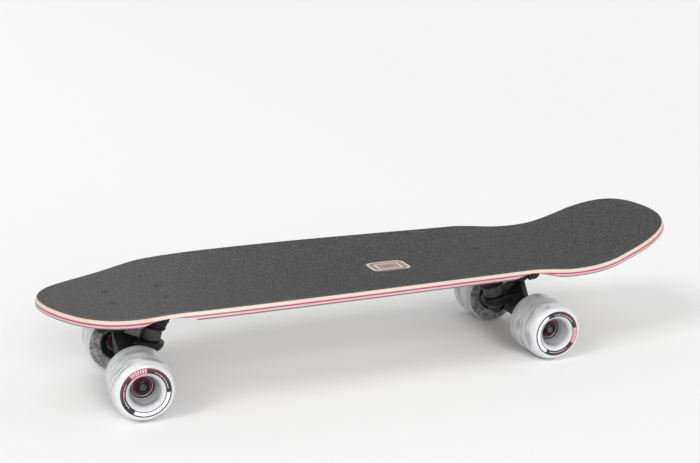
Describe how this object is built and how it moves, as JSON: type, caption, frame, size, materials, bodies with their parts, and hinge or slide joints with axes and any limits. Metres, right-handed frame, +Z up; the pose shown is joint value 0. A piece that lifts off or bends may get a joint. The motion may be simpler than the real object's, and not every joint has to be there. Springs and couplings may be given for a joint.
{
  "type": "cruiser skateboard",
  "caption": "Cruiser skateboard with a dished kicktail deck, wheel wells, dark grip tape, black trucks that lean to steer and soft milky wheels that spin freely.",
  "frame": {"origin": "on the floor, under the middle of the board's length and width", "axes": "+X along the board from nose to tail, +Y to the board's right-hand side as it rolls nose first, +Z up"},
  "size_m": [0.7186, 0.222, 0.141],
  "materials": {
    "wood": "clear-lacquered maple plies with a pink ply in the edge",
    "grip": "dark grey grit",
    "riser": "matt",
    "casting": "satin black",
    "hardware": "black oxide",
    "bushing": "satin",
    "urethane": "milky and translucent, marbled with smoky grey",
    "core": "satin black",
    "bearing": "steel rings with dark red shields"
  },
  "bodies": {
    "board": {"deck": "wood", "grip_tape": "grip", "riser_pad_front": "riser", "baseplate_front": "casting", "deck_bolt_front_1": "hardware", "deck_nut_front_1": "hardware", "deck_bolt_front_2": "hardware", "deck_nut_front_2": "hardware", "deck_bolt_front_3": "hardware", "deck_nut_front_3": "hardware", "deck_bolt_front_4": "hardware", "deck_nut_front_4": "hardware", "kingpin_front": "hardware", "kingpin_nut_front": "hardware", "bushing_board_front": "bushing", "washer_board_front": "hardware", "bushing_road_front": "bushing", "washer_road_front": "hardware", "pivot_cup_front": "bushing", "riser_pad_rear": "riser", "baseplate_rear": "casting", "deck_bolt_rear_1": "hardware", "deck_nut_rear_1": "hardware", "deck_bolt_rear_2": "hardware", "deck_nut_rear_2": "hardware", "deck_bolt_rear_3": "hardware", "deck_nut_rear_3": "hardware", "deck_bolt_rear_4": "hardware", "deck_nut_rear_4": "hardware", "kingpin_rear": "hardware", "kingpin_nut_rear": "hardware", "bushing_board_rear": "bushing", "washer_board_rear": "hardware", "bushing_road_rear": "bushing", "washer_road_rear": "hardware", "pivot_cup_rear": "bushing"},
    "front_truck": {"hanger_front": "casting", "axle_front": "hardware", "axle_nut_front_left": "hardware", "axle_nut_front_right": "hardware"},
    "front_left_wheel": {"wheel_front_left": "urethane", "wheel_core_front_left": "core", "bearing_inner_front_left": "bearing", "bearing_outer_front_left": "bearing"},
    "front_right_wheel": {"wheel_front_right": "urethane", "wheel_core_front_right": "core", "bearing_inner_front_right": "bearing", "bearing_outer_front_right": "bearing"},
    "rear_truck": {"hanger_rear": "casting", "axle_rear": "hardware", "axle_nut_rear_left": "hardware", "axle_nut_rear_right": "hardware"},
    "rear_left_wheel": {"wheel_rear_left": "urethane", "wheel_core_rear_left": "core", "bearing_inner_rear_left": "bearing", "bearing_outer_rear_left": "bearing"},
    "rear_right_wheel": {"wheel_rear_right": "urethane", "wheel_core_rear_right": "core", "bearing_inner_rear_right": "bearing", "bearing_outer_rear_right": "bearing"}
  },
  "joints": [
    {"name": "front_lean", "type": "hinge", "parent": "board", "child": "front_truck", "pos_m": [-0.24652, 0, 0.04682], "axis": [-0.848, 0, 0.5299], "range_deg": [-15, 15], "stiffness_Nm_per_rad": 60, "deforming": ["bushing_board_front", "bushing_road_front"]},
    {"name": "front_left_spin", "type": "hinge", "parent": "front_truck", "child": "front_left_wheel", "pos_m": [-0.27063, -0.0758, 0.03232], "axis": [0, 1, 0], "continuous": true},
    {"name": "front_right_spin", "type": "hinge", "parent": "front_truck", "child": "front_right_wheel", "pos_m": [-0.27063, 0.0758, 0.03232], "axis": [0, 1, 0], "continuous": true},
    {"name": "rear_lean", "type": "hinge", "parent": "board", "child": "rear_truck", "pos_m": [0.16098, 0, 0.04682], "axis": [0.848, 0, 0.5299], "range_deg": [-15, 15], "stiffness_Nm_per_rad": 60, "deforming": ["bushing_board_rear", "bushing_road_rear"]},
    {"name": "rear_left_spin", "type": "hinge", "parent": "rear_truck", "child": "rear_left_wheel", "pos_m": [0.18507, -0.0758, 0.03232], "axis": [0, 1, 0], "continuous": true},
    {"name": "rear_right_spin", "type": "hinge", "parent": "rear_truck", "child": "rear_right_wheel", "pos_m": [0.18507, 0.0758, 0.03232], "axis": [0, 1, 0], "continuous": true}
  ]
}
